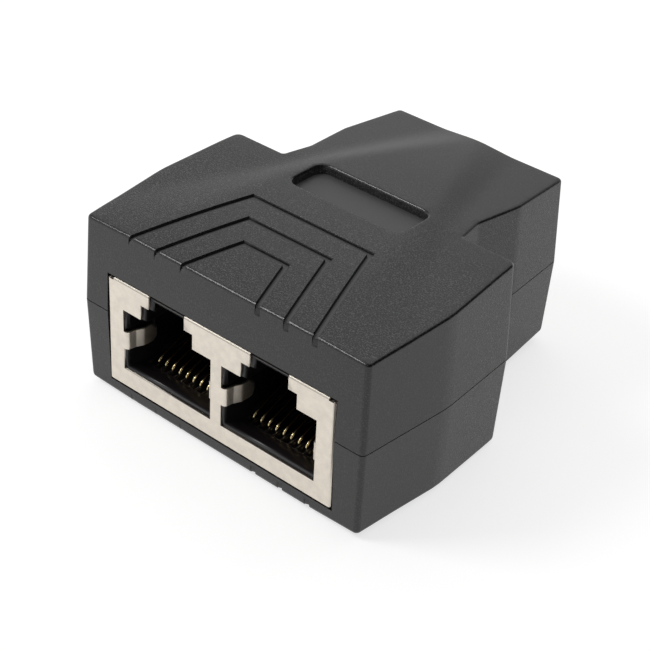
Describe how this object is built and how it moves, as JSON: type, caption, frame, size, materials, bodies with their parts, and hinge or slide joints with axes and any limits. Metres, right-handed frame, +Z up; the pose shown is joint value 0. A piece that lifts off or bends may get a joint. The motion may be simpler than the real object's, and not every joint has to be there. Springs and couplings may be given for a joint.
{
  "type": "ethernet cable splitter",
  "caption": "Moulded splitter for modular network plugs, T-shaped in plan, with shielded jacks on its wide front and narrower rear and a grooved, crowned top.",
  "frame": {"origin": "under the middle of the housing, on the plane of its flat underside", "axes": "+Z up, -Y out of the pair of front ports, +Y out of the rear port, +X to the right seen from the front"},
  "size_m": [0.0396, 0.0418, 0.0223],
  "materials": {
    "housing": "fine spark-eroded grain",
    "shield": "dull nickel plate",
    "insulator": "satin",
    "contact": "bright gold plate",
    "board": "solder mask"
  },
  "bodies": {
    "root": {"top_shell": "housing", "bottom_shell": "housing", "front_shield": "shield", "rear_shield": "shield", "front_jack_body": "insulator", "rear_jack_body": "insulator", "circuit_board": "board", "left_contact_carrier": "insulator", "right_contact_carrier": "insulator", "rear_contact_carrier": "insulator", "left_contact_01": "contact", "left_contact_02": "contact", "left_contact_03": "contact", "left_contact_04": "contact", "left_contact_05": "contact", "left_contact_06": "contact", "left_contact_07": "contact", "left_contact_08": "contact", "left_contact_09": "contact", "left_contact_10": "contact", "right_contact_01": "contact", "right_contact_02": "contact", "right_contact_03": "contact", "right_contact_04": "contact", "right_contact_05": "contact", "right_contact_06": "contact", "right_contact_07": "contact", "right_contact_08": "contact", "right_contact_09": "contact", "right_contact_10": "contact", "rear_contact_01": "contact", "rear_contact_02": "contact", "rear_contact_03": "contact", "rear_contact_04": "contact", "rear_contact_05": "contact", "rear_contact_06": "contact", "rear_contact_07": "contact", "rear_contact_08": "contact", "rear_contact_09": "contact", "rear_contact_10": "contact"}
  },
  "joints": []
}
